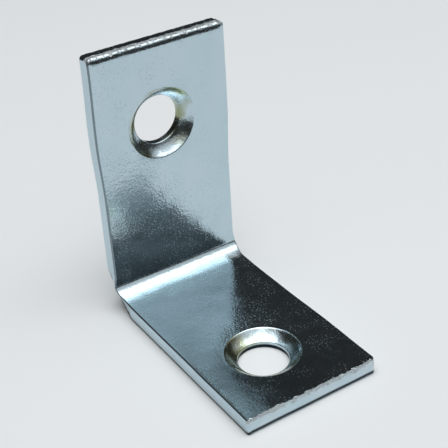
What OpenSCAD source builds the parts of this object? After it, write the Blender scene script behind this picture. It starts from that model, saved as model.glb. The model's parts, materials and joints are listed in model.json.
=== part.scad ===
// Angle bracket folded from flat steel strip, with one countersunk screw hole in each leg.
// +X runs along the base leg, +Y across the strip and +Z up the upright leg.
// The origin is the centre of the bracket's box, on its underside.

/* [Strip] */
// Width of the steel strip
strip_w = 17; // [14:0.5:40]
// Thickness of the steel strip
strip_t = 2; // [1.6:0.1:4]
// Rounding of the strip's long edges
edge_r = 0.3; // [0.1:0.05:0.6]

/* [Legs] */
// Length of the base leg, from the back face to its end
base_len = 30; // [28:0.5:80]
// Height of the upright leg, from the underside to its end
upright_len = 32.5; // [28:0.5:80]
// Inner radius of the bend
bend_r = 2; // [1.2:0.1:3]

/* [Screw holes] */
// Diameter of each clearance hole
hole_d = 5.9; // [3:0.1:7]
// Diameter of each countersink at the inner face
sink_d = 8.8; // [7.5:0.1:10]
// Height of the straight wall left below each countersink
land_h = 0.85; // [0.3:0.05:1.2]
// Distance from the base leg's end to the centre of its hole
base_hole_inset = 8.7; // [8:0.1:12]
// Distance from the upright leg's end to the centre of its hole
upright_hole_inset = 9.9; // [8:0.1:12]
// How far the punch set the base hole off the strip's middle
base_hole_off = -0.5; // [-1:0.1:1]
// How far the punch set the upright hole off the strip's middle
upright_hole_off = -0.3; // [-1:0.1:1]

/* [Marks of pressing] */
// Width of the rolled rim around each countersink
rim_w = 0.15; // [0.1:0.05:0.5]
// Depth of the rolled rim
rim_h = 0.08; // [0.06:0.02:0.2]
// How far each side of the base leg swells out beside its countersink
base_swell = 0.2; // [0.1:0.1:0.3]
// How far each side of the upright leg swells out beside its countersink, and from there to its end
upright_swell = 0.3; // [0.1:0.1:0.3]
// Distance along the leg over which a swelling rises or fades out
swell_reach = 8; // [6:0.5:10]
// How far the sides draw in at the outside of the bend
bend_draw = 0.2; // [0.05:0.05:0.4]
// How far the sides bulge out at the inside of the bend
bend_bulge = 0.2; // [0.05:0.05:0.3]

/* [Sheared ends] */
// Depth of the rolled-over edge
roll_h = 0.35; // [0.1:0.05:0.5]
// Length of the rolled-over edge, along the leg
roll_len = 0.5; // [0.2:0.05:0.8]
// How far the broken half of the end falls back
break_back = 0.12; // [0.02:0.02:0.2]
// Rounding of the two corners
corner_r = 0.5; // [0.2:0.1:1.5]

/* [Hidden] */
$fn = 96;

half_w = strip_w / 2;
outer_r = bend_r + strip_t;
base_flat = base_len - outer_r;
upright_flat = upright_len - outer_r;
bend_x = outer_r - base_len / 2;
// Overrun of every cutting shape past the metal
cut = 1;
// Each side is a band of the strip that carries the rounded edges, lapped onto the strip's core
lap = 0.5;
band = edge_r + max(base_swell, upright_swell) + 2 * lap;
// The arcs of the swellings are drawn fine because they are long and flat
swell_fn = 1440;
// The sides draw in from the chord that joins the two ends of the bend's outer curve
draw_from = outer_r * cos(45);
draw_r = pow(outer_r - draw_from, 2) / bend_draw;
// The bulge is a dome on the middle of the bend's inner edge, and reaches to the bend's ends
bulge_reach = 2 * bend_r * sin(22.5);
bulge_r = (pow(bulge_reach, 2) + pow(bend_bulge, 2)) / (2 * bend_bulge);

// Centre of the circle of radius r that passes through a and b, on the right of the way there
function arc_centre(a, b, r) =
    let (way = b - a, half = norm(way) / 2)
    (a + b) / 2 + [way.y, -way.x] / norm(way) * sqrt(pow(r, 2) - pow(half, 2));

// What is cut off a corner, from a on its upper face to b on its end face, to leave an arc of radius r
module rolled_off(a, b, r) {
    difference() {
        polygon([a, b, b + [cut, 0], [b.x + cut, a.y + cut], a + [0, cut]]);
        translate(arc_centre(a, b, r)) circle(r = r);
    }
}

// Rectangle with rounded corners, centred on the X axis
module rounded_section(x, length, width) {
    translate([x, edge_r - width / 2]) square([length, width - 2 * edge_r]);
    translate([x + edge_r, -width / 2]) square([length - 2 * edge_r, width]);
    for (u = [x + edge_r, x + length - edge_r], v = [edge_r - width / 2, width / 2 - edge_r])
        translate([u, v]) circle(r = edge_r);
}

// Section of a side band, with its rounded edge on the line x = 0 and a square one inwards
module band_section() {
    intersection() {
        translate([0, strip_t / 2]) rounded_section(-band - lap, band + lap, strip_t);
        translate([-band, 0]) square([band, strip_t]);
    }
}

// Straight stretch of a side band, along +X and so far out from the strip's own side
module straight_band(start, finish, out) {
    translate([start, half_w + out, 0]) rotate([90, 0, 90])
        linear_extrude(height = finish - start) band_section();
}

// Slope of a swelling as two equal arcs, from its crest at x = 0 to its foot at x = swell_reach
module swollen_band(swell) {
    arc_r = (pow(swell_reach, 2) + pow(swell, 2)) / (4 * swell);
    turn = asin(swell_reach / 2 / arc_r);
    translate([0, half_w + swell - arc_r, 0]) rotate([0, 0, 90 - turn])
        rotate_extrude(angle = turn, $fn = swell_fn) translate([arc_r, 0]) band_section();
    translate([swell_reach, half_w + arc_r, 0]) rotate([0, 0, -90 - turn])
        rotate_extrude(angle = turn, $fn = swell_fn) translate([arc_r, 0]) mirror([1, 0]) band_section();
}

// One side of a flat leg, which swells out beside the hole and fades out past it or is held to the end
module leg_side(length, hole_x, swell, held) {
    straight_band(0, hole_x - swell_reach, 0);
    translate([hole_x, 0, 0]) mirror([1, 0, 0]) swollen_band(swell);
    if (held) {
        straight_band(hole_x, length + cut, swell);
    } else {
        translate([hole_x, 0, 0]) swollen_band(swell);
        straight_band(hole_x + swell_reach, length + swell_reach, 0);
    }
}

// Plan of a flat leg, with rounded corners at its end, which is so far out on each side
module leg_plan(length, out) {
    reach = half_w + band;
    corner_y = half_w + out - corner_r;
    translate([-cut, -reach]) square([length + cut - corner_r, 2 * reach]);
    translate([0, -corner_y]) square([length, 2 * corner_y]);
    for (y = [-corner_y, corner_y]) translate([length - corner_r, y]) circle(r = corner_r);
}

// Side view of what shearing takes off a leg's end: a roll at the top and a broken face at the foot
module shear_off(length) {
    rolled_off([length - roll_len, strip_t], [length, strip_t - roll_h], roll_len + roll_h);
    polygon([[length, strip_t / 2], [length - break_back, 0], [length - break_back, -cut],
        [length + cut, -cut], [length + cut, strip_t / 2]]);
}

// The space of a pressed countersink: a straight land, a cone and a rolled rim
module countersink() {
    sink_r = sink_d / 2;
    cone_r = sink_r - rim_w;
    cone_h = strip_t - rim_h;
    rotate_extrude() {
        polygon([[0, -cut], [hole_d / 2, -cut], [hole_d / 2, land_h], [cone_r, cone_h],
            [cone_r, strip_t + cut], [0, strip_t + cut]]);
        mirror([1, 0]) translate([-sink_r, 0]) rolled_off([0, strip_t], [rim_w, cone_h], 2 * rim_w);
    }
}

// Flat leg from the bend at x = 0, inner face up, with its end rolled over above or below
module leg(length, hole_inset, hole_off, swell, held, rolled_above) {
    hole_x = length - hole_inset;
    core = half_w - band + lap;
    difference() {
        intersection() {
            union() {
                translate([0, -core, 0]) cube([length, 2 * core, strip_t]);
                for (side = [0, 1]) mirror([0, side, 0]) leg_side(length, hole_x, swell, held);
            }
            translate([0, 0, -cut]) linear_extrude(height = strip_t + 2 * cut)
                leg_plan(length, held ? swell : 0);
        }
        translate([0, half_w + cut, rolled_above ? 0 : strip_t]) mirror([0, 0, rolled_above ? 0 : 1])
            rotate([90, 0, 0]) linear_extrude(height = strip_w + 2 * cut) shear_off(length);
        translate([hole_x, hole_off, 0]) countersink();
    }
}

// What draws the bend's upper side in, as a bar across its outer curve
module side_drawn_in() {
    rotate([0, 0, 225]) rotate([90, 0, 0]) translate([0, 0, -outer_r]) linear_extrude(height = 2 * outer_r)
        rolled_off([draw_from, half_w], [outer_r, half_w - bend_draw], draw_r);
}

// Bulge of the bend's upper side, where the inside of the fold is squeezed out
module side_bulged_out() {
    intersection() {
        rotate([0, 0, 180]) rotate_extrude(angle = 90) translate([0, half_w + bend_bulge - lap])
            rounded_section(bend_r, strip_t, 2 * lap);
        rotate([0, 0, 225]) translate([bend_r, 0, half_w + bend_bulge - bulge_r])
            rotate([90, 0, 0]) sphere(r = bulge_r);
    }
}

// The bend, turning about the Z axis from -X to -Y, with the strip's width along Z
module bend() {
    difference() {
        rotate([0, 0, 180]) rotate_extrude(angle = 90) rounded_section(bend_r, strip_t, strip_w);
        for (side = [0, 1]) mirror([0, 0, side]) side_drawn_in();
    }
    for (side = [0, 1]) mirror([0, 0, side]) side_bulged_out();
}

module bracket() {
    color("silver") {
        translate([bend_x, 0, 0])
            leg(base_flat, base_hole_inset, base_hole_off, base_swell,
                held = false, rolled_above = false);
        translate([bend_x - outer_r, 0, outer_r]) mirror([1, 0, 0]) rotate([0, -90, 0])
            leg(upright_flat, upright_hole_inset, upright_hole_off, upright_swell,
                held = true, rolled_above = true);
        translate([bend_x, 0, outer_r]) rotate([90, 0, 0]) bend();
    }
}

bracket();
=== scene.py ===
"""Looks of a small angle bracket, pressed and folded from steel strip and bright zinc plated.

The bracket is worked out as a flat blank first: s runs along the strip from the base leg's end to the
upright leg's end, y runs across it and n through it, from the outer face at 0 to the inner face.
The blank gets its pressed and sheared forms there, and is then folded up into place.
"""

import json
import logging
import math
from dataclasses import dataclass, field
from enum import Enum

import bmesh
import bpy
import numpy as np
from mathutils import Matrix, Vector


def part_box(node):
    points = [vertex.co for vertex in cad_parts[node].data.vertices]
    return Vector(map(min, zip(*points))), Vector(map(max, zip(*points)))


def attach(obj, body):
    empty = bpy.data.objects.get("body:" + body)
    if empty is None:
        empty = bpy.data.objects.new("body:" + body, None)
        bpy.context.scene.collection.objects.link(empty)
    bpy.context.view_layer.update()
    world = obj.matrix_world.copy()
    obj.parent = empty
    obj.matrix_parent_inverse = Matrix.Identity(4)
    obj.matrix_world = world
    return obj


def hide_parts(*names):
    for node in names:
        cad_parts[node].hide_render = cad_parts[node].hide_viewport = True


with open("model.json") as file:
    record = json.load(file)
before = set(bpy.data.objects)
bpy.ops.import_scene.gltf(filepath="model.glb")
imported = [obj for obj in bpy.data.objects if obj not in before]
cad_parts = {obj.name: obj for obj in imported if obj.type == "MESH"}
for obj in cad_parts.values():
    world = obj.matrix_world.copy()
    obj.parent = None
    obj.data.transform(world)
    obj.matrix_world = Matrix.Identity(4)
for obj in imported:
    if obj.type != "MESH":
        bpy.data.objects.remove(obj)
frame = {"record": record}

LOG = logging.getLogger("bracket")
MM = 0.001
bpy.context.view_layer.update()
# Points of the blank are merged where they round to the same place, in parts of a millimetre
MERGE_PARTS = 1e5
# Degrees between two faces from which their edge is shaded sharp
SHARP_ANGLE = 38.0
Socket = bpy.types.NodeSocket


class Region(Enum):
    """The differently finished regions of the bracket, in the order of their material slots."""

    FACE = 0
    CONE = 1
    SLIT_EDGE = 2
    BASE_END = 3
    UPRIGHT_END = 4


@dataclass(frozen=True)
class Strip:
    """The steel strip that the bracket is made from, in millimetres."""

    width: float = 17.0
    thickness: float = 2.0
    edge_r: float = 0.2
    bend_r: float = 2.0
    slit_drop: float = 0.03
    slit_reach: float = 0.9

    @property
    def half(self) -> float:
        """Half of the strip's width."""
        return self.width / 2

    @property
    def flat_half(self) -> float:
        """Half of the width between the rounded edges."""
        return self.half - self.edge_r

    @property
    def outer_r(self) -> float:
        """Outer radius of the bend."""
        return self.bend_r + self.thickness

    @property
    def bend_length(self) -> float:
        """Length of the strip that the bend takes, along its middle."""
        return (self.bend_r + self.thickness / 2) * math.pi / 2


@dataclass(frozen=True)
class Swelling:
    """How far one long side swells out: beside the countersink, and from there to the leg's end, in mm."""

    crest: float
    tail: float
    reach: float = 8.0


@dataclass(frozen=True)
class Countersink:
    """A screw hole with its pressed countersink, in blank coordinates and millimetres.

    The sag is how far the inner face falls towards the rim. Below 0, the face rises towards it.
    """

    along: float
    across: float
    hole_r: float
    land: float
    near: Swelling
    far: Swelling
    sink_r: float = 4.4
    rim_w: float = 0.15
    rim_h: float = 0.08
    dish: float = 0.125
    lip: float = 0.014
    lip_reach: float = 0.7
    sag: float = 0.0
    sag_reach: float = 4.5
    land_round: float = 0.06
    land_drop: float = 0.4
    back_round: float = 0.07
    foot_w: float = 0.5


@dataclass(frozen=True)
class ShearedEnd:
    """A leg's sheared end: rolled over at one face and broken away at the other, in millimetres.

    A depth is a share of the thickness, from 0 at the broken face to 1 at the rolled one. The
    fracture's share is its foot less its slope times the depth.
    """

    at: float
    inward: float
    zone: float
    rolled_inner: bool
    seed: int
    roll_h: float
    roll_len: float
    corner_r_far: float
    break_back: float
    burr: float
    grain: float
    corner_r_near: float = 0.3
    corner_fade: float = 0.6
    corner_roll: float = 0.3
    unevenness: float = 0.08
    grain_stretch: float = 1.4
    grain_crest: float = 0.05
    fracture_foot: float = 1.6
    fracture_slope: float = 2.2
    burr_crest: float = 0.1
    burr_slope: float = 6.0

    def roll_evenness(self, y: np.ndarray) -> np.ndarray:
        """Share of the roll that is left at each place across the strip, in long waves."""
        waves = Waves(shortest=2.0, longest=9.0, tilt=1.0, count=6, seed=self.seed + 3)
        wave = np.clip(waves.height(y, 0.0 * y), -1.0, 1.0)
        return 1.0 - self.unevenness + self.unevenness * wave

    def roll_at_corners(self, y: np.ndarray, half: float) -> np.ndarray:
        """Share of the roll that is left near the sides of a strip with this half width."""
        inwards = smooth_step((half - np.abs(y)) / self.corner_fade)
        return self.corner_roll + (1.0 - self.corner_roll) * inwards

    def corner_push(self, y: np.ndarray, half: float) -> np.ndarray:
        """How far the two round corners set the end back."""
        radius = np.where(y > 0.0, self.corner_r_far, self.corner_r_near)
        past = np.clip(np.abs(y) - half + radius, 0.0, radius)
        return radius - np.sqrt(radius**2 - past**2)

    def fracture_push(self, y: np.ndarray, n: np.ndarray, depth: np.ndarray) -> np.ndarray:
        """How far the crystals of the torn steel set the end back, between 0 and twice the grain."""
        waves = Waves(shortest=0.22, longest=1.0, tilt=0.55, count=16, seed=self.seed)
        crystals = np.clip(waves.height(y, n * self.grain_stretch) / self.grain_crest, -1.0, 1.0)
        share = np.clip(self.fracture_foot - self.fracture_slope * depth, 0.0, 1.0)
        return self.grain * 2.0 * crystals * share + self.grain * share

    def burr_push(self, y: np.ndarray, depth: np.ndarray) -> np.ndarray:
        """How far the ragged burr sets the broken edge back or lets it stand out."""
        waves = Waves(shortest=0.25, longest=1.6, tilt=1.0, count=12, seed=self.seed + 7)
        ragged = np.clip(waves.height(y, 0.0 * y) / self.burr_crest, -1.0, 1.0)
        return self.burr * ragged * np.clip(1.0 - self.burr_slope * depth, 0.0, 1.0)


@dataclass(frozen=True)
class Fold:
    """The fold's inside, and how the strip's sides draw in and bulge out there, in mm and degrees.

    The inside is a chain of arcs, each a radius and the turns where it starts and stops, counted from
    the upright. It is tight at the upright and opens out towards the base.
    """

    arcs: tuple[tuple[float, float, float], ...] = (
        (0.35, 0.0, 40.0),
        (2.2, 40.0, 75.0),
        (7.0, 75.0, 87.5),
        (50.0, 87.5, 90.0),
    )
    draw: float = 0.6
    draw_at: float = 45.0
    draw_reach: float = 65.0
    bulge: float = 0.28
    bulge_at: float = 60.0
    bulge_reach: float = 40.0
    dome_power: float = 1.5

    @property
    def length(self) -> float:
        """Length of the chain of arcs."""
        return sum(r * math.radians(stop - start) for r, start, stop in self.arcs)

    @property
    def span(self) -> float:
        """How far out from the upright's face the arcs reach."""
        return sum(r * (math.cos(math.radians(a)) - math.cos(math.radians(b))) for r, a, b in self.arcs)

    @property
    def rise(self) -> float:
        """How far up from the base's face the arcs reach."""
        return sum(r * (math.sin(math.radians(b)) - math.sin(math.radians(a))) for r, a, b in self.arcs)

    def inside(self, run: np.ndarray) -> tuple[np.ndarray, np.ndarray, np.ndarray]:
        """The fold's inside: straight along the base, up the chain of arcs, then straight up.

        Each arc moves a point by its radius times the change in cosine outwards and in sine upwards.

        Args:
            run: distance along the inside from the foot of the arcs, in millimetres.

        Returns:
            Distance out from the upright's face, height over the base's face and degrees turned.
        """
        out = self.span - np.minimum(run, 0.0)
        up = np.maximum(run - self.length, 0.0)
        turned = np.zeros_like(run)
        passed = 0.0
        for r, low, high in reversed(self.arcs):
            length = r * math.radians(high - low)
            gone = np.clip(run - passed, 0.0, length) / r
            start = math.radians(high)
            out = out - r * (np.cos(start - gone) - math.cos(start))
            up = up + r * (math.sin(start) - np.sin(start - gone))
            turned = turned + np.degrees(gone)
            passed += length
        return out, up, turned


@dataclass
class Sheet:
    """A grid of points in blank coordinates, (rows, columns, 3), and the finish of its faces."""

    points: np.ndarray
    region: Region
    closed: bool = False


def smooth_step(value: np.ndarray) -> np.ndarray:
    """Rises smoothly from 0 to 1 as value goes from 0 to 1, by three squares less two cubes."""
    t = np.clip(value, 0.0, 1.0)
    return t * t * (3.0 - 2.0 * t)


def dome(place: np.ndarray, middle: float, reach: float) -> np.ndarray:
    """1 less the square of the distance from the middle over the reach, and 0 past the reach."""
    return np.clip(1.0 - ((place - middle) / reach) ** 2, 0.0, 1.0)


@dataclass(frozen=True)
class Waves:
    """A gentle unevenness: a sum of sine waves with random directions and phases.

    Each wave's height goes with its length, so that all of them tilt the surface about as much.
    """

    shortest: float
    longest: float
    tilt: float
    count: int
    seed: int

    def height(self, u: np.ndarray, v: np.ndarray) -> np.ndarray:
        """Height of the unevenness over a plane.

        Args:
            u: first coordinate of each point, in millimetres.
            v: second coordinate of each point, in millimetres.

        Returns:
            The height at each point, in millimetres.
        """
        rng = np.random.default_rng(self.seed)
        total = np.zeros(np.broadcast(u, v).shape)
        for length in np.geomspace(self.shortest, self.longest, self.count):
            turn, phase = rng.uniform(0.0, 2.0 * math.pi, 2)
            way = (u * math.cos(turn) + v * math.sin(turn)) * 2.0 * math.pi / length
            total = total + np.sin(way + phase) * length
        return total * self.tilt / (2.0 * math.pi * math.sqrt(self.count / 2.0))


@dataclass(frozen=True)
class PaintedShadeAndLine:
    """Painted shade where the bracket meets the floor, and a darker edge line: heights over the
    blank's outer face and widths of fading, in mm.

    The line is how strongly a darker line is painted along the inner edge of one side, as a share.
    """

    base_foot: float = 0.36
    upright_foot: float = 0.06
    bend_foot: float = 0.9
    foot_fade: float = 0.12
    line: float = 0.6
    line_fade: float = 0.06
    hole_foot: float = 0.5
    hole_fade: float = 0.1
    side_margin: float = 0.02
    margin: float = 0.01


@dataclass
class Bracket:
    """The folded bracket as one closed surface, built as sheets of the flat blank.

    Lengths are in millimetres. A hole's patch is the stretch of both faces about it, made of rings
    from its rim to a border that has as many points on each side as there are columns. Points are
    counted along a profile, and rings from a profile to the border.
    """

    strip: Strip
    base_hole: Countersink
    upright_hole: Countersink
    base_length: float
    upright_length: float
    heel_x: float
    fold: Fold = field(default_factory=Fold)
    # Painted shade where the bracket meets the floor, and a darker line along one inner edge
    painted_shade_and_line: PaintedShadeAndLine = PaintedShadeAndLine()
    columns: int = 88
    crowding: float = 0.35
    bend_count: int = 72
    bend_samples: int = 2001
    patch_half: float = 7.6
    row_step: float = 0.25
    roll_points: int = 9
    edge_steps: int = 6
    side_steps: int = 10
    rim_points: int = 6
    cone_points: int = 11
    land_points: int = 5
    collar_points: int = 10
    foot_points: int = 4
    inner_rings: int = 15
    outer_rings: int = 14
    ring_growth: float = 1.25
    swell_power: int = 6
    bend_power: int = 10
    face_waves: Waves = Waves(shortest=2.2, longest=14.0, tilt=0.010, count=14, seed=5)

    def __post_init__(self) -> None:
        """Works out the blank's lengths and its two ends."""
        strip = self.strip
        self.base_flat = self.base_length - strip.outer_r
        self.upright_flat = self.upright_length - strip.outer_r
        self.bend_end = self.base_flat + strip.bend_length
        self.fold_foot = self.base_flat + strip.bend_r - self.fold.span
        self.blank_length = self.bend_end + self.upright_flat
        self.holes = (self.base_hole, self.upright_hole)
        self.ends = (
            ShearedEnd(
                at=0.0,
                inward=1.0,
                zone=self.base_hole.along - self.patch_half,
                rolled_inner=False,
                seed=11,
                roll_h=0.3,
                roll_len=0.4,
                corner_r_far=0.5,
                break_back=0.1,
                burr=0.05,
                grain=0.02,
            ),
            ShearedEnd(
                at=self.blank_length,
                inward=-1.0,
                zone=self.blank_length - self.upright_hole.along - self.patch_half,
                rolled_inner=True,
                seed=23,
                roll_h=0.5,
                roll_len=0.85,
                corner_r_far=0.2,
                break_back=0.03,
                burr=0.0,
                grain=0.008,
            ),
        )

    def across(self) -> np.ndarray:
        """Places of the columns across a face, closer together towards the edges.

        With u from -1 to 1 and c the crowding, a place is 1 + c times u, less c times u cubed.
        """
        u = np.linspace(-1.0, 1.0, self.columns + 1)
        return self.strip.flat_half * ((1.0 + self.crowding) * u - self.crowding * u**3)

    def side_profile(self) -> np.ndarray:
        """Points down one side of the section, (steps + 1, 2) as distance from the middle and n.

        A quarter circle, a straight run and a second quarter circle.
        """
        strip = self.strip
        turn = np.linspace(0.0, math.pi / 2, self.edge_steps + 1)
        outwards = strip.flat_half + strip.edge_r * np.sin(turn)
        down = strip.thickness - strip.edge_r * (1.0 - np.cos(turn))
        upper = np.stack([outwards, down], 1)
        lower = np.stack([upper[::-1, 0], strip.thickness - upper[::-1, 1]], 1)
        run = np.linspace(upper[-1], lower[0], self.side_steps + 1)[1:-1]
        return np.concatenate([upper, run, lower])

    def end_rows(self, end: ShearedEnd) -> np.ndarray:
        """Distances of the rows from an end: closest at the edge, as along a quarter ellipse, then even."""
        turn = np.linspace(0.0, math.pi / 2, self.roll_points)
        rolled = end.roll_len * (1.0 - np.cos(turn))
        count = max(3, round((end.zone - end.roll_len) / self.row_step) + 1)
        return np.concatenate([rolled, np.linspace(end.roll_len, end.zone, count)[1:]])

    def fold_run(self, s: np.ndarray) -> np.ndarray:
        """Distance along the fold's inside for a place on the blank: evenly shortened within the fold."""
        whole = self.fold.length + self.strip.bend_r - self.fold.rise
        share = np.clip((s - self.fold_foot) / (self.bend_end - self.fold_foot), 0.0, 1.0)
        return np.minimum(s - self.fold_foot, 0.0) + whole * share + np.maximum(s - self.bend_end, 0.0)

    def bend_rows(self) -> np.ndarray:
        """Places of the rows in the bend: half of their spacing goes by the length, half by the turn."""
        fine = np.linspace(self.fold_foot, self.bend_end, self.bend_samples)
        turned = self.fold.inside(self.fold_run(fine))[2]
        share = 0.5 * np.linspace(0.0, 1.0, len(fine)) + 0.5 * turned / 90.0
        return np.interp(np.linspace(0.0, 1.0, self.bend_count + 1), share, fine)

    def rows(self) -> dict[str, np.ndarray]:
        """Places of the rows along the blank, for each of its stretches in order."""
        low, high = self.ends
        base, upright = self.base_hole, self.upright_hole
        return {
            "base end": self.end_rows(low),
            "base patch": self.patch_rows(base),
            "base flat": self.even_rows(base.along + self.patch_half, self.fold_foot),
            "bend": self.bend_rows(),
            "upright flat": self.even_rows(self.bend_end, upright.along - self.patch_half),
            "upright patch": self.patch_rows(upright),
            "upright end": high.at - self.end_rows(high)[::-1],
        }

    def even_rows(self, start: float, stop: float) -> np.ndarray:
        """Evenly spaced rows, about a row step apart."""
        return np.linspace(start, stop, round((stop - start) / self.row_step) + 1)

    def patch_rows(self, hole: Countersink) -> np.ndarray:
        """The rows beside a hole's patch, as many as the columns across."""
        return np.linspace(hole.along - self.patch_half, hole.along + self.patch_half, self.columns + 1)

    def face_sheet(self, rows: np.ndarray, n: float, region: Region) -> Sheet:
        """A plain stretch of the inner or outer face, as rows along and columns across."""
        s, y = np.meshgrid(rows, self.across(), indexing="ij")
        return Sheet(np.stack([s, y, np.full_like(s, n)], -1), region)

    def side_sheet(self, rows: np.ndarray, side: float) -> Sheet:
        """One long side with its rounded edges, as rows along and the side profile down."""
        profile = self.side_profile()
        s, k = np.meshgrid(rows, np.arange(len(profile)), indexing="ij")
        return Sheet(np.stack([s, side * profile[k, 0], profile[k, 1]], -1), Region.SLIT_EDGE)

    def end_sheet(self, end: ShearedEnd) -> Sheet:
        """A sheared end: the columns of the face, spread to the side profile at each depth."""
        profile = self.side_profile()
        y = self.across()[None, :] * profile[:, :1] / self.strip.flat_half
        n = np.broadcast_to(profile[:, 1:], y.shape)
        region = Region.UPRIGHT_END if end.rolled_inner else Region.BASE_END
        return Sheet(np.stack([np.full(y.shape, end.at), y, n], -1), region)

    def patch_border(self, hole: Countersink) -> np.ndarray:
        """Points round the rectangle of face about a hole, (4 x columns, 2) as s and y."""
        y = self.across()
        s = self.patch_rows(hole)
        edge = self.strip.flat_half
        runs = (
            np.stack([np.full_like(y, s[0]), y], 1),
            np.stack([s, np.full_like(s, edge)], 1),
            np.stack([np.full_like(y, s[-1]), y[::-1]], 1),
            np.stack([s[::-1], np.full_like(s, -edge)], 1),
        )
        return np.concatenate([run[:-1] for run in runs])

    def hole_directions(self, hole: Countersink, border: np.ndarray) -> np.ndarray:
        """Unit vectors from a hole's centre, one for each point of its border.

        Each is half way between the even share of the turn and the border point's own direction.
        """
        own = np.arctan2(border[:, 1] - hole.across, border[:, 0] - hole.along)
        # The border starts at the corner that lies back along both s and y, at 225 degrees
        even = 1.25 * math.pi - 2.0 * math.pi * np.arange(len(border)) / len(border)
        turn = even + 0.5 * np.angle(np.exp(1j * (own - even)))
        return np.stack([np.cos(turn), np.sin(turn)], 1)

    def spread(self, hole: Countersink, radius: float, n: float, rings: int) -> np.ndarray:
        """Rings of a face between a circle about a hole and the patch's border.

        A ring is a straight blend of the two, by a share whose steps grow towards the border.

        Args:
            hole: the hole that the patch is about.
            radius: the circle's radius, in millimetres.
            n: the face's place through the strip, in millimetres.
            rings: how many steps there are from the circle to the border.

        Returns:
            The rings' points, (rings + 1, points round, 3).
        """
        border = self.patch_border(hole)
        circle = np.array([hole.along, hole.across]) + radius * self.hole_directions(hole, border)
        share = np.linspace(0.0, 1.0, rings + 1) ** self.ring_growth
        plan = circle[None] + share[:, None, None] * (border - circle)[None]
        return np.concatenate([plan, np.full((*plan.shape[:2], 1), n)], -1)

    def turned(self, hole: Countersink, profile: np.ndarray) -> np.ndarray:
        """A profile of radius and n, turned about a hole's axis into rings."""
        way = self.hole_directions(hole, self.patch_border(hole))
        plan = np.array([hole.along, hole.across]) + profile[:, None, :1] * way[None]
        depth = np.broadcast_to(profile[:, None, 1:], (*plan.shape[:2], 1))
        return np.concatenate([plan, depth], -1)

    def sink_profile(self, hole: Countersink) -> np.ndarray:
        """Radius and n down a countersink: a rolled rim, a dished cone and the top of the land.

        The rim falls away as a parabola. The cone is a quadratic Bezier curve whose middle point
        lies below its chord, so that it is steep under the rim and flatter at the land.
        """
        top = self.strip.thickness
        share = np.linspace(0.0, 1.0, self.rim_points)
        rim = np.stack([hole.sink_r - hole.rim_w * share, top - hole.rim_h * share**2], 1)
        start = rim[-1]
        stop = np.array([hole.hole_r + hole.land_round, hole.land + hole.land_drop * hole.land_round])
        middle = (start + stop) / 2 - np.array([0.0, 2.0 * hole.dish])
        t = np.linspace(0.0, 1.0, self.cone_points)[1:, None]
        cone = (1 - t) ** 2 * start + 2 * t * (1 - t) * middle + t**2 * stop
        return np.concatenate([rim, cone])

    def land_profile(self, hole: Countersink) -> np.ndarray:
        """Radius and n down the straight land, rounded over at its top and at the outer face."""
        turn = np.linspace(0.0, math.pi / 2, self.land_points)
        wall_top = hole.land - hole.land_round
        upper_r = hole.hole_r + hole.land_round * (1.0 - np.sin(turn))
        upper_n = np.linspace(hole.land + hole.land_drop * hole.land_round, wall_top, len(turn))
        lower_r = hole.hole_r + hole.back_round * (1.0 - np.cos(turn))
        lower_n = hole.back_round * (1.0 - np.sin(turn))
        wall = np.linspace(wall_top, hole.back_round, self.land_points)[1:-1]
        return np.concatenate(
            [
                np.stack([upper_r, upper_n], 1),
                np.stack([np.full_like(wall, hole.hole_r), wall], 1),
                np.stack([lower_r, lower_n], 1),
            ]
        )

    def hole_sheets(self, hole: Countersink) -> list[Sheet]:
        """The inner face about a hole, the countersink, the land and the outer face about the hole."""
        top = self.strip.thickness
        collar_r = hole.sink_r + hole.lip_reach
        foot_r = hole.hole_r + hole.back_round
        collar_run = np.linspace(collar_r, hole.sink_r, self.collar_points)
        foot_run = np.linspace(foot_r, foot_r + hole.foot_w, self.foot_points)
        collar = np.stack([collar_run, np.full_like(collar_run, top)], 1)
        foot = np.stack([foot_run, np.zeros_like(foot_run)], 1)
        face = self.spread(hole, collar_r, top, self.inner_rings)
        back = self.spread(hole, foot_r + hole.foot_w, 0.0, self.outer_rings)
        inner = np.concatenate([face[::-1], self.turned(hole, collar)[1:]])
        outer = np.concatenate([self.turned(hole, foot), back[1:]])
        return [
            Sheet(inner, Region.FACE, closed=True),
            Sheet(self.turned(hole, self.sink_profile(hole)), Region.CONE, closed=True),
            Sheet(self.turned(hole, self.land_profile(hole)), Region.CONE, closed=True),
            Sheet(outer, Region.FACE, closed=True),
        ]

    def sheets(self) -> list[Sheet]:
        """Every sheet of the blank, which together close it."""
        rows = self.rows()
        plain = {
            "base end": Region.BASE_END,
            "base flat": Region.FACE,
            "bend": Region.FACE,
            "upright flat": Region.FACE,
            "upright end": Region.UPRIGHT_END,
        }
        every_row = np.concatenate([part[:-1] for part in rows.values()] + [[self.blank_length]])
        made = [
            self.face_sheet(rows[name], n, region)
            for name, region in plain.items()
            for n in (0.0, self.strip.thickness)
        ]
        made += [self.side_sheet(every_row, side) for side in (-1.0, 1.0)]
        made += [self.end_sheet(end) for end in self.ends]
        for hole in self.holes:
            made += self.hole_sheets(hole)
        return made

    def press_rims(self, p: np.ndarray) -> np.ndarray:
        """Lets the inner face sag towards each countersink and raises a low lip at its rim.

        The sag falls off as the square and the lip as the cube of the share of their reach that is
        left.
        """
        for hole in self.holes:
            radius = np.hypot(p[:, 0] - hole.along, p[:, 1] - hole.across)
            near_rim = np.clip(1.0 - (radius - hole.sink_r) / hole.lip_reach, 0.0, 1.0)
            near_hole = np.clip(1.0 - (radius - hole.sink_r) / hole.sag_reach, 0.0, 1.0)
            p[:, 2] += (hole.lip * near_rim**3 - hole.sag * near_hole**2) * p[:, 2] / self.strip.thickness
        return p

    def slit_edges(self, p: np.ndarray) -> np.ndarray:
        """Lets the inner face fall off towards the long edges, by the square of the way into their reach."""
        strip = self.strip
        share = np.clip((np.abs(p[:, 1]) - strip.half + strip.slit_reach) / strip.slit_reach, 0.0, 1.0)
        p[:, 2] -= strip.slit_drop * share**2 * np.clip(p[:, 2] / strip.thickness * 2.0 - 1.0, 0.0, 1.0)
        return p

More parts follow.
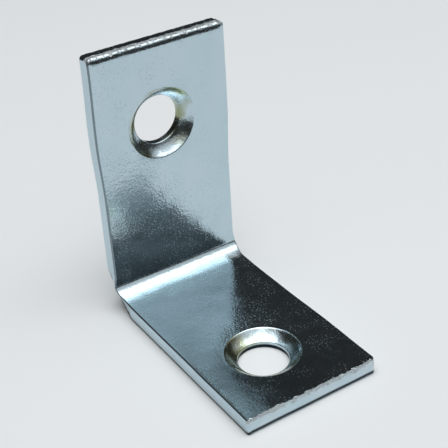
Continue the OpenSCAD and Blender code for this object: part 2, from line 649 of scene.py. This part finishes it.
    def swell_sides(self, p: np.ndarray) -> np.ndarray:
        """Swells each long side out smoothly beside a countersink, and on to the leg's end.

        The swelling is felt near the side only, by a power of the distance from the middle.
        """
        for hole, end in zip(self.holes, self.ends):
            past = (hole.along - p[:, 0]) * end.inward
            for side, swelling in ((-1.0, hole.near), (1.0, hole.far)):
                rise = smooth_step(1.0 - np.abs(past) / swelling.reach)
                tail = np.where(past > 0.0, swelling.tail, 0.0)
                out = tail + (swelling.crest - tail) * rise
                near_side = np.clip(side * p[:, 1] / self.strip.half, 0.0, None) ** self.swell_power
                p[:, 1] += side * out * near_side
        return p

    def squeeze_bend(self, p: np.ndarray) -> np.ndarray:
        """Draws the sides in at the outside of the bend and bulges them out at its inside.

        Each is a dome along the strip, to the dome power. The draw fades out evenly through the
        thickness, and the bulge by the same power. Both are felt near the sides only.
        """
        strip, fold = self.strip, self.fold
        turn = (p[:, 0] - self.base_flat) / strip.bend_length * 90.0
        inner = np.clip(p[:, 2] / strip.thickness, 0.0, 1.0)
        power = fold.dome_power
        drawn = fold.draw * dome(turn, fold.draw_at, fold.draw_reach) ** power * (1.0 - inner)
        bulged = fold.bulge * dome(turn, fold.bulge_at, fold.bulge_reach) ** power * inner**power
        near_side = (np.abs(p[:, 1]) / strip.half) ** self.bend_power * np.sign(p[:, 1])
        p[:, 1] += (bulged - drawn) * near_side
        return p

    def shear_end(self, p: np.ndarray, end: ShearedEnd) -> np.ndarray:
        """Gives one end its rolled edge, its broken half, its corners and the grain of the fracture.

        The rolled edge is a quarter ellipse. Every other form pushes the end's edge inwards, and
        fades out evenly over the end's zone.

        Args:
            p: (count, 3) places in blank coordinates, in millimetres.
            end: the end to shear.

        Returns:
            The places, with those in the end's zone moved.
        """
        strip = self.strip
        distance = (p[:, 0] - end.at) * end.inward
        near = distance < end.zone
        q = p[near]
        distance = distance[near]
        depth = q[:, 2] / strip.thickness
        if not end.rolled_inner:
            depth = 1.0 - depth
        y = q[:, 1]
        lean = np.clip(1.0 - distance / end.roll_len, 0.0, 1.0)
        drop = end.roll_h * (1.0 - np.sqrt(1.0 - lean**2)) * np.clip(2.0 * depth - 1.0, 0.0, 1.0)
        drop = drop * end.roll_evenness(y) * end.roll_at_corners(y, strip.half)
        push = end.corner_push(y, strip.half)
        push += end.break_back * np.clip(1.0 - 2.0 * depth, 0.0, 1.0)
        push += end.fracture_push(y, q[:, 2], depth)
        push += end.burr_push(y, depth)
        q[:, 0] += end.inward * np.maximum(push, 0.0) * (1.0 - distance / end.zone)
        q[:, 2] += drop * (-1.0 if end.rolled_inner else 1.0)
        p[near] = q
        return p

    def wave_face(self, p: np.ndarray) -> np.ndarray:
        """Lowers and raises the inner face by a gentle unevenness."""
        wave = self.face_waves.height(p[:, 0], p[:, 1])
        p[:, 2] += wave * np.clip(p[:, 2] / self.strip.thickness, 0.0, 1.0) ** 2
        return p

    def fold_up(self, p: np.ndarray) -> np.ndarray:
        """Folds the blank: flat along the base, round the bend, then straight up.

        The outer face turns on a quarter circle and the inner face on the fold's chain of arcs. A
        point between them lies on the straight line from one to the other, by its share of n.
        """
        strip = self.strip
        turn = np.clip((p[:, 0] - self.base_flat) / strip.bend_length, 0.0, 1.0) * math.pi / 2
        before = np.clip(self.base_flat - p[:, 0], 0.0, None)
        after = np.clip(p[:, 0] - self.bend_end, 0.0, None)
        outer_x = strip.outer_r * (1.0 - np.sin(turn)) + before
        outer_z = strip.outer_r * (1.0 - np.cos(turn)) + after
        out, up, _ = self.fold.inside(self.fold_run(p[:, 0]))
        share = p[:, 2] / strip.thickness
        x = outer_x + (strip.thickness + out - outer_x) * share
        z = outer_z + (strip.thickness + up - outer_z) * share
        return np.stack([self.heel_x + x, p[:, 1], z], 1)

    def end_way(self, p: np.ndarray) -> np.ndarray:
        """The way over a sheared end, in mm, from its broken edge at 0 through to its rolled edge.

        On the rolled face it goes on with the distance from the end, and on the broken face it runs
        below 0.
        """
        thickness = self.strip.thickness
        on_base = p[:, 0] < self.base_flat
        way = np.where(on_base, thickness - p[:, 2], p[:, 2])
        distance = np.where(on_base, p[:, 0], self.blank_length - p[:, 0])
        return way + distance * np.where(way > thickness / 2, 1.0, -1.0)

    def painted_shade_and_line_share(self, p: np.ndarray) -> np.ndarray:
        """Share of painted shade and of a darker edge line at each point, from 0 to 1.

        The shade is painted along the foot of the base's sides and end, over the side of the bend and in
        the lower half of the base's hole, where these lie close to the floor. The darker line runs along
        the inner edge of the side at -Y.
        """
        strip, fold, painted_shade_and_line = self.strip, self.fold, self.painted_shade_and_line
        at_side = np.abs(p[:, 1]) > strip.flat_half + painted_shade_and_line.side_margin
        on_base = p[:, 0] < self.base_flat
        at_edge = at_side | (p[:, 0] < painted_shade_and_line.margin)
        turn = (p[:, 0] - self.base_flat) / strip.bend_length * 90.0
        bent = dome(turn, fold.draw_at, fold.draw_reach)
        foot = np.where(on_base, painted_shade_and_line.base_foot, painted_shade_and_line.upright_foot) + painted_shade_and_line.bend_foot * bent
        low = np.where(at_edge, smooth_step((foot - p[:, 2]) / painted_shade_and_line.foot_fade + 0.5), 0.0)
        edge = smooth_step((p[:, 2] - strip.thickness + strip.edge_r) / painted_shade_and_line.line_fade)
        line = np.where(at_side & (p[:, 1] < 0.0), painted_shade_and_line.line * edge, 0.0)
        radius = np.hypot(p[:, 0] - self.base_hole.along, p[:, 1] - self.base_hole.across)
        in_hole = radius < self.base_hole.hole_r + painted_shade_and_line.margin
        land = np.where(in_hole, smooth_step((painted_shade_and_line.hole_foot - p[:, 2]) / painted_shade_and_line.hole_fade + 0.5), 0.0)
        return np.maximum(np.maximum(low, line), land)

    def shaped(self, points: np.ndarray) -> np.ndarray:
        """Presses, shears and folds points of the blank.

        Args:
            points: (count, 3) places in blank coordinates, in millimetres.

        Returns:
            Their (count, 3) places in the row frame, in metres.
        """
        p = points.astype(float).copy()
        p = self.wave_face(self.press_rims(self.slit_edges(p)))
        p = self.squeeze_bend(self.swell_sides(p))
        for end in self.ends:
            p = self.shear_end(p, end)
        return self.fold_up(p) * MM

    def build(self, name: str) -> bpy.types.Object:
        """Makes the bracket's mesh from its sheets, with their shared edges merged.

        Args:
            name: the new object's name.

        Returns:
            The object, whose faces have their region's number as their material index.
        """
        places, faces, regions = [], [], []
        count = 0
        for sheet in self.sheets():
            height, width = sheet.points.shape[:2]
            index = count + np.arange(height * width).reshape(height, width)
            if sheet.closed:
                index = np.concatenate([index, index[:, :1]], 1)
            corners = (index[:-1, :-1], index[:-1, 1:], index[1:, 1:], index[1:, :-1])
            quads = np.stack(corners, -1).reshape(-1, 4)
            places.append(sheet.points.reshape(-1, 3))
            faces.append(quads)
            regions.append(np.full(len(quads), sheet.region.value))
            count += height * width
        blank = np.concatenate(places)
        merged, back = merge_points(blank)
        quads = back[np.concatenate(faces)]
        mesh = mesh_from(name, self.shaped(merged), quads, np.concatenate(regions))
        add_point_value(mesh, "end_way", self.end_way(merged))
        # Stores the share of painted shade near the floor and of the darker edge line, for the materials
        add_point_value(mesh, "painted_shade_and_line", self.painted_shade_and_line_share(merged))
        return add_object(name, mesh)


def merge_points(points: np.ndarray) -> tuple[np.ndarray, np.ndarray]:
    """Merges points that share a place.

    Args:
        points: (count, 3) places in millimetres.

    Returns:
        The places that differ, and for each point the index of its own place among them.
    """
    keys = np.round(points * MERGE_PARTS).astype(np.int64)
    _, first, back = np.unique(keys, axis=0, return_index=True, return_inverse=True)
    return points[first], back.reshape(-1)


def mesh_from(name: str, places: np.ndarray, quads: np.ndarray, regions: np.ndarray) -> bpy.types.Mesh:
    """Makes a closed, smooth mesh with its faces outwards and its true edges sharp.

    Args:
        name: the mesh's name.
        places: (count, 3) vertex places in metres.
        quads: (faces, 4) vertex indices.
        regions: material index of each face.

    Returns:
        The mesh.
    """
    mesh = bpy.data.meshes.new(name)
    mesh.from_pydata(places.tolist(), [], quads.tolist())
    mesh.polygons.foreach_set("material_index", regions.astype(np.int32))
    editing = bmesh.new()
    editing.from_mesh(mesh)
    bmesh.ops.recalc_face_normals(editing, faces=editing.faces)
    open_edges = sum(1 for edge in editing.edges if len(edge.link_faces) != 2)
    volume = editing.calc_volume(signed=True) / MM**3
    editing.to_mesh(mesh)
    editing.free()
    mesh.shade_smooth()
    mesh.set_sharp_from_angle(angle=math.radians(SHARP_ANGLE))
    LOG.info("%s: %d faces, %d open edges, %.1f mm3", name, len(quads), open_edges, volume)
    return mesh


def add_point_value(mesh: bpy.types.Mesh, name: str, values: np.ndarray) -> None:
    """Stores one number for each vertex of a mesh, for its material to read."""
    attribute = mesh.attributes.new(name, "FLOAT", "POINT")
    attribute.data.foreach_set("value", values.astype(np.float32))


def add_object(name: str, data: bpy.types.ID) -> bpy.types.Object:
    """Makes an object and puts it into the scene."""
    made = bpy.data.objects.new(name, data)
    bpy.context.scene.collection.objects.link(made)
    return made


def direction(azimuth: float, elevation: float) -> Vector:
    """Unit vector at an azimuth from +X and an elevation, both in degrees."""
    az, el = math.radians(azimuth), math.radians(elevation)
    return Vector((math.cos(el) * math.cos(az), math.cos(el) * math.sin(az), math.sin(el)))


def linear(code: str) -> tuple[float, float, float, float]:
    """Turns an sRGB hex colour such as #C8D4DA into linear red, green, blue and a full alpha."""
    parts = [int(code[i : i + 2], 16) / 255.0 for i in (1, 3, 5)]
    r, g, b = (c / 12.92 if c <= 0.04045 else ((c + 0.055) / 1.055) ** 2.4 for c in parts)
    return (r, g, b, 1.0)


@dataclass(frozen=True)
class Nodes:
    """A node tree, and the nodes that the materials and the world are made of.

    Apart from add, each method gives what comes out of the nodes that it adds.
    """

    tree: bpy.types.NodeTree

    @classmethod
    def of(cls, owner: bpy.types.ID) -> "Nodes":
        """Turns on the nodes of a material or world, and clears them."""
        owner.use_nodes = True
        owner.node_tree.nodes.clear()
        return cls(owner.node_tree)

    def add(self, kind: str, inputs: dict | None = None, **settings) -> bpy.types.Node:
        """Adds a node.

        Args:
            kind: the node's type name.
            inputs: a value, or the output to link, for each input by name or number.
            **settings: the node's own properties.

        Returns:
            The node.
        """
        node = self.tree.nodes.new(kind)
        for key, value in settings.items():
            setattr(node, key, value)
        for key, value in (inputs or {}).items():
            if isinstance(value, Socket):
                self.tree.links.new(value, node.inputs[key])
            else:
                node.inputs[key].default_value = value
        return node

    def stored(self, name: str) -> Socket:
        """A number that the mesh has at each point."""
        return self.add("ShaderNodeAttribute", attribute_name=name).outputs["Fac"]

    def noise(self, place: Socket, size_mm: float, detail: float) -> Socket:
        """Soft clouds of about this size, from 0 to 1."""
        inputs = {"Vector": place, "Scale": 1.0 / (size_mm * MM), "Detail": detail}
        return self.add("ShaderNodeTexNoise", inputs).outputs["Fac"]

    def cells(self, place: Socket, size_mm: float) -> Socket:
        """Distance from the centre of a cell of about this size, as a share of the size."""
        inputs = {"Vector": place, "Scale": 1.0 / (size_mm * MM)}
        return self.add("ShaderNodeTexVoronoi", inputs).outputs["Distance"]

    def math(self, operation: str, *values: Socket | float) -> Socket:
        """One step of arithmetic."""
        return self.add("ShaderNodeMath", dict(enumerate(values)), operation=operation).outputs[0]

    def mapped(self, value: Socket, low: float, high: float, first: float = 0.0, last: float = 1.0) -> Socket:
        """Goes evenly from first to last as the value goes from low to high, and no further."""
        inputs = {"Value": value, "From Min": low, "From Max": high, "To Min": first, "To Max": last}
        return self.add("ShaderNodeMapRange", inputs).outputs[0]

    def mixed(self, share: Socket, first: Socket | float, last: Socket | float) -> Socket:
        """A number between two."""
        return self.add("ShaderNodeMix", {0: share, 2: first, 3: last}).outputs[0]

    def tinted(self, share: Socket, first: Socket | tuple, last: Socket | tuple) -> Socket:
        """A colour between two."""
        return self.add("ShaderNodeMix", {0: share, 6: first, 7: last}, data_type="RGBA").outputs[2]

    def ramp(self, value: Socket, stops: list[tuple[float, tuple]]) -> Socket:
        """A colour that goes with the value from stop to stop, each a place and a linear colour."""
        node = self.add("ShaderNodeValToRGB", {"Fac": value})
        elements = node.color_ramp.elements
        while len(elements) > 1:
            elements.remove(elements[-1])
        elements[0].position, elements[0].color = stops[0]
        for place, colour in stops[1:]:
            elements.new(place).color = colour
        return node.outputs["Color"]


@dataclass(frozen=True)
class ZincFinish:
    """Bright zinc electroplate over cold-rolled steel, with a clear blue passivation.

    The rolled steel shows through the thin plating as fine ripples across the strip, and the zinc's
    crystals as faint specks, so that a mirror image in it is blue, soft and grainy at its borders.
    Where shade is painted near the floor, and along a darker edge line, it is dark and hardly mirrors
    anything. A speck fades out between two distances from its cell's centre, and is likelier where the
    roughness drifts up.
    """

    name: str = "Bright zinc electroplate, blue passivated"
    colour: str = "#C2D4DD"
    tint: str = "#BCD0D8"
    mottle_mm: float = 5.0
    tint_from: float = 0.35
    tint_full: float = 0.65
    roughness: float = 0.15
    roughness_spread: float = 0.05
    drift_from: float = 0.3
    drift_full: float = 0.7
    ripple_mm: float = 0.42
    ripple_stretch: float = 2.2
    ripple_depth: float = 0.011
    swirl_mm: float = 2.4
    swirl_depth: float = 0.03
    grain_mm: float = 0.26
    grain_depth: float = 0.012
    speck_mm: float = 0.3
    speck_roughness: float = 0.34
    speck_rim: float = 0.45
    speck_core: float = 0.1
    speck_from: float = 0.28
    speck_full: float = 0.56
    # Painted shade near the floor and the darker edge line take this colour and roughness
    painted_shade_and_line_colour: str = "#1E272E"
    painted_shade_and_line_roughness: float = 0.38
    lean: float = 0.035
    bow: float = 0.09
    bow_reach: float = 15.0

    def build(self) -> bpy.types.Material:
        """Makes the material."""
        material = bpy.data.materials.new(self.name)
        nodes = Nodes.of(material)
        place = nodes.add("ShaderNodeTexCoord").outputs["Object"]
        # Share of painted shade near the floor and of the darker edge line, stored at the mesh's points
        painted_shade_and_line = nodes.stored("painted_shade_and_line")
        inputs = {
            "Base Color": self.shade(nodes, place, painted_shade_and_line),
            "Metallic": 1.0,
            "Roughness": self.gloss(nodes, place, painted_shade_and_line),
            "Normal": self.relief(nodes, place),
        }
        shader = nodes.add("ShaderNodeBsdfPrincipled", inputs)
        nodes.add("ShaderNodeOutputMaterial", {"Surface": shader.outputs["BSDF"]})
        return material

    def shade(self, nodes: Nodes, place: Socket, painted_shade_and_line: Socket) -> Socket:
        """Colour: two close tones in soft clouds, and the dark colour where shade and the edge line are
        painted.
        """
        cloud = nodes.noise(place, self.mottle_mm, detail=4.0)
        share = nodes.mapped(cloud, self.tint_from, self.tint_full)
        plated = nodes.tinted(share, linear(self.colour), linear(self.tint))
        # Paints the shade near the floor and the edge line dark over the plating
        return nodes.tinted(painted_shade_and_line, plated, linear(self.painted_shade_and_line_colour))

    def gloss(self, nodes: Nodes, place: Socket, painted_shade_and_line: Socket) -> Socket:
        """Roughness: drifting a little, higher in small specks here and there, and under the painted shade.
        """
        drift = nodes.noise(place, self.swirl_mm, detail=5.0)
        low, high = (self.roughness + side * self.roughness_spread / 2 for side in (-1, 1))
        even = nodes.mapped(drift, self.drift_from, self.drift_full, low, high)
        dot = nodes.mapped(nodes.cells(place, self.speck_mm), self.speck_rim, self.speck_core)
        chance = nodes.mapped(drift, self.speck_from, self.speck_full)
        marked = nodes.mixed(nodes.math("MULTIPLY", dot, chance), even, self.speck_roughness)
        return nodes.mixed(painted_shade_and_line, marked, self.painted_shade_and_line_roughness)

    def relief(self, nodes: Nodes, place: Socket) -> Socket:
        """Normal: a bow, a lean, swirls, ripples across the strip and grain, each over the one before.

        The lean is the slope by which an upright surface falls back with its height. The bow is the
        slope by which a lying one rises at its reach from the middle, and grows evenly up to there.
        """
        stretched = {"Vector": place, "Scale": (1.0, 1.0 / self.ripple_stretch, 1.0)}
        across = nodes.add("ShaderNodeMapping", stretched).outputs["Vector"]
        x, _, z = nodes.add("ShaderNodeSeparateXYZ", {"Vector": place}).outputs
        bowed = {"Height": nodes.math("MULTIPLY", x, x), "Distance": self.bow / (2.0 * self.bow_reach * MM)}
        normal = nodes.add("ShaderNodeBump", bowed).outputs["Normal"]
        leant = {"Height": z, "Distance": self.lean, "Normal": normal}
        normal = nodes.add("ShaderNodeBump", leant, invert=True).outputs["Normal"]
        marks = (
            (place, self.swirl_mm, self.swirl_depth, 2.0),
            (across, self.ripple_mm, self.ripple_depth, 3.0),
            (place, self.grain_mm, self.grain_depth, 1.0),
        )
        for way, size_mm, depth_mm, detail in marks:
            wave = nodes.noise(way, size_mm, detail)
            bump = {"Height": wave, "Distance": depth_mm * MM, "Normal": normal}
            normal = nodes.add("ShaderNodeBump", bump).outputs["Normal"]
        return normal


@dataclass(frozen=True)
class ShearedFinish(ZincFinish):
    """Zinc plating over a sheared end: smooth where the blade cut, crystalline where the steel tore.

    The torn band is bright and rough, because its fine crystals face every way. Its borders are
    places on the way over the end, in mm. They are ragged by clumps of crystals.
    """

    torn_from: float = 0.95
    torn_to: float = 2.1
    torn_soft: float = 0.15
    torn_ragged: float = 0.9
    torn_colour: str = "#CDD6DA"
    torn_roughness: float = 0.42
    torn_mm: float = 0.2
    torn_clump: float = 3.0
    torn_depth: float = 0.1

    def torn(self, nodes: Nodes, place: Socket) -> Socket:
        """Share of torn steel, from 0 to 1: a band across the end's depth with ragged borders."""
        clump = nodes.noise(place, self.torn_clump * self.torn_mm, detail=3.0)
        shift = nodes.math("MULTIPLY_ADD", clump, self.torn_ragged, -0.5 * self.torn_ragged)
        ragged = nodes.math("ADD", nodes.stored("end_way"), shift)
        middle = (self.torn_from + self.torn_to) / 2
        half = (self.torn_to - self.torn_from) / 2
        apart = nodes.math("ABSOLUTE", nodes.math("SUBTRACT", ragged, middle))
        return nodes.mapped(apart, half + self.torn_soft / 2, half - self.torn_soft / 2)

    def shade(self, nodes: Nodes, place: Socket, painted_shade_and_line: Socket) -> Socket:
        """Colour, with the torn band paler."""
        plated = super().shade(nodes, place, painted_shade_and_line)
        return nodes.tinted(self.torn(nodes, place), plated, linear(self.torn_colour))

    def gloss(self, nodes: Nodes, place: Socket, painted_shade_and_line: Socket) -> Socket:
        """Roughness, with the torn band rougher."""
        plated = super().gloss(nodes, place, painted_shade_and_line)
        return nodes.mixed(self.torn(nodes, place), plated, self.torn_roughness)

    def relief(self, nodes: Nodes, place: Socket) -> Socket:
        """Normal, with the facets of the torn band's crystals."""
        bump = {
            "Strength": self.torn(nodes, place),
            "Height": nodes.cells(place, self.torn_mm),
            "Distance": self.torn_depth * MM,
            "Normal": super().relief(nodes, place),
        }
        return nodes.add("ShaderNodeBump", bump).outputs["Normal"]


@dataclass(frozen=True)
class FloorFinish:
    """Matt white board, which gives an even pale ground with soft shadows."""

    name: str = "Matt white board"
    colour: str = "#EAEEF0"
    roughness: float = 0.9

    def build(self) -> bpy.types.Material:
        """Makes the material."""
        material = bpy.data.materials.new(self.name)
        material.use_nodes = True
        shader = material.node_tree.nodes["Principled BSDF"]
        shader.inputs["Base Color"].default_value = linear(self.colour)
        shader.inputs["Roughness"].default_value = self.roughness
        shader.inputs["Specular IOR Level"].default_value = 0.0
        return material


@dataclass(frozen=True)
class SoftBox:
    """A square studio lamp behind white cloth, which the metal mirrors as a soft highlight."""

    name: str
    azimuth: float
    elevation: float
    distance: float
    size: float
    brightness: float

    def build(self) -> None:
        """Makes the lamp, turned towards the bracket. Its power is pi times its area and brightness."""
        away = direction(self.azimuth, self.elevation)
        data = bpy.data.lights.new(self.name, "AREA")
        data.shape, data.size = "SQUARE", self.size
        data.energy = math.pi * self.size**2 * self.brightness
        turn = away.to_track_quat("Z", "Y").to_matrix().to_4x4()
        add_object(self.name, data).matrix_world = Matrix.Translation(away * self.distance) @ turn


@dataclass(frozen=True)
class Studio:
    """Floor and surroundings: a soft light overhead, dim walls and a pale table under the bracket.

    A sky is a list of degrees above the horizon and the brightness there. The camera itself sees the
    plain background instead. The front is a direction in degrees from +X, and the sky changes from
    the one behind to the front one between two cosines from it.
    """

    floor_half: float = 0.28
    floor_z: float = -0.00001
    background: str = "#E3E6E8"
    front_way: float = 30.0
    front_from: float = -0.1
    front_full: float = 0.4
    front_sky: tuple[tuple[float, float], ...] = (
        (0, 0.04),
        (25, 0.04),
        (30, 0.12),
        (34, 0.35),
        (39, 0.6),
        (45, 0.7),
        (52, 0.75),
        (60, 1.1),
        (70, 2.7),
        (90, 3.4),
    )
    behind_sky: tuple[tuple[float, float], ...] = (
        (0, 0.04),
        (12, 0.02),
        (50, 0.03),
        (57, 0.4),
        (64, 1.0),
        (72, 2.4),
        (90, 3.0),
    )

    def build(self) -> None:
        """Makes the floor, the world and the lamps."""
        self.make_floor()
        self.make_world()
        SoftBox("key", azimuth=70.0, elevation=62.0, distance=0.28, size=0.12, brightness=1.4).build()
        SoftBox("fill", azimuth=-60.0, elevation=72.0, distance=0.3, size=0.24, brightness=0.9).build()

    def make_floor(self) -> None:
        """Lays the floor just under the bracket."""
        h, z = self.floor_half, self.floor_z
        mesh = bpy.data.meshes.new("floor")
        mesh.from_pydata([(-h, -h, z), (h, -h, z), (h, h, z), (-h, h, z)], [], [(0, 1, 2, 3)])
        mesh.materials.append(FloorFinish().build())
        add_object("floor", mesh)

    def make_world(self) -> None:
        """Makes the world: brightness by height above the horizon, different in front and behind."""
        world = bpy.data.worlds.new("Studio")
        bpy.context.scene.world = world
        nodes = Nodes.of(world)
        way = nodes.add("ShaderNodeTexCoord").outputs["Generated"]
        height = nodes.add("ShaderNodeSeparateXYZ", {"Vector": way}).outputs["Z"]
        front = {0: way, 1: direction(self.front_way, 0.0)}
        ahead = nodes.add("ShaderNodeVectorMath", front, operation="DOT_PRODUCT").outputs["Value"]
        skies = []
        for sky in (self.behind_sky, self.front_sky):
            stops = [(math.sin(math.radians(angle)), (level, level, level, 1.0)) for angle, level in sky]
            skies.append(nodes.ramp(height, stops))
        around = nodes.tinted(nodes.mapped(ahead, self.front_from, self.front_full), *skies)
        camera = nodes.add("ShaderNodeLightPath").outputs["Is Camera Ray"]
        seen = nodes.tinted(camera, around, linear(self.background))
        light = nodes.add("ShaderNodeBackground", {"Color": seen, "Strength": 1.0})
        nodes.add("ShaderNodeOutputWorld", {"Surface": light.outputs["Background"]})


@dataclass(frozen=True)
class PhotoCamera:
    """The camera, fitted to the bracket's edges and hole rims in the photograph."""

    place_mm: tuple[float, float, float] = (86.087, -53.023, 78.016)
    azimuth: float = -31.274
    elevation: float = 31.826
    roll: float = -3.574
    lens: float = 87.423
    sensor: float = 36.0

    def build(self) -> None:
        """Makes the camera, looking back along its own back axis, turned about it by the roll."""
        back = direction(self.azimuth, self.elevation)
        roll = math.radians(self.roll)
        level = Vector((0, 0, 1)).cross(back).normalized()
        up = back.cross(level)
        right = level * math.cos(roll) + up * math.sin(roll)
        top = up * math.cos(roll) - level * math.sin(roll)
        data = bpy.data.cameras.new("camera")
        data.lens, data.sensor_width = self.lens, self.sensor
        data.clip_start, data.clip_end = 0.001, 10.0
        camera = add_object("camera", data)
        turn = Matrix((right, top, back)).transposed().to_4x4()
        camera.matrix_world = Matrix.Translation(Vector(self.place_mm) * MM) @ turn
        bpy.context.scene.camera = camera


def read_hole(bore: dict, along: float, near: Swelling, far: Swelling, sag: float) -> Countersink:
    """Reads a hole from its packed mount."""
    radius, land = bore["dims"]["r_mm"], bore["dims"]["length_mm"]
    return Countersink(along, bore["pos_m"][1] / MM, radius, land, near, far, sag=sag)


def read_bracket() -> Bracket:
    """Reads the legs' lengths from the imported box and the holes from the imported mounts."""
    low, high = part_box("bracket")
    strip = Strip()
    base_length = (high.x - low.x) / MM
    upright_length = (high.z - low.z) / MM
    bores = {mount["name"]: mount for mount in frame["record"]["mounts"] if mount["kind"] == "bore"}
    base, upright = bores["base_hole"], bores["upright_hole"]
    blank_length = base_length + upright_length - 2.0 * strip.outer_r + strip.bend_length
    return Bracket(
        strip=strip,
        base_hole=read_hole(
            base,
            along=high.x / MM - base["pos_m"][0] / MM,
            near=Swelling(0.02, 0.0),
            far=Swelling(0.13, 0.06),
            sag=0.2,
        ),
        upright_hole=read_hole(
            upright,
            along=blank_length - (high.z - upright["pos_m"][2]) / MM,
            near=Swelling(0.28, 0.14),
            far=Swelling(0.29, 0.29),
            sag=-0.12,
        ),
        base_length=base_length,
        upright_length=upright_length,
        heel_x=low.x / MM,
    )


def finishes() -> dict[Region, ZincFinish]:
    """The finish of each region of the bracket."""
    plain = ZincFinish()
    return {
        Region.FACE: plain,
        # The passivation is uneven over the pressed steel, and shows olive in patches
        Region.CONE: ZincFinish(
            f"{plain.name}, over pressed steel",
            tint="#9AA084",
            mottle_mm=3.0,
            tint_from=0.46,
            tint_full=0.66,
            roughness=0.2,
            swirl_mm=1.2,
        ),
        # Slitting leaves fine lines, so that the sides mirror softly
        Region.SLIT_EDGE: ZincFinish(f"{plain.name}, over a slit edge", roughness=0.2, ripple_depth=0.02),
        # The torn band is a thin ragged light line at the base's end
        Region.BASE_END: ShearedFinish(
            f"{plain.name}, over the base's sheared end",
            colour="#CAD6DD",
            torn_from=-0.1,
            torn_to=0.45,
            torn_ragged=1.0,
        ),
        # Here it is wide and glitters, between the black cut and the rolled edge
        Region.UPRIGHT_END: ShearedFinish(f"{plain.name}, over the upright's sheared end"),
    }


def main() -> None:
    """Builds the camera, the bracket and the studio, in that order."""
    logging.basicConfig(level=logging.INFO, format="%(message)s")
    PhotoCamera().build()
    piece = read_bracket().build("plated_bracket")
    chosen = finishes()
    for region in Region:
        piece.data.materials.append(chosen[region].build())
    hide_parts("bracket")
    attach(piece, "root")
    LOG.info("%s replaces the bracket", piece.name)
    Studio().build()
    bpy.context.scene.view_settings.view_transform = "Standard"


if __name__ == "__main__":
    main()
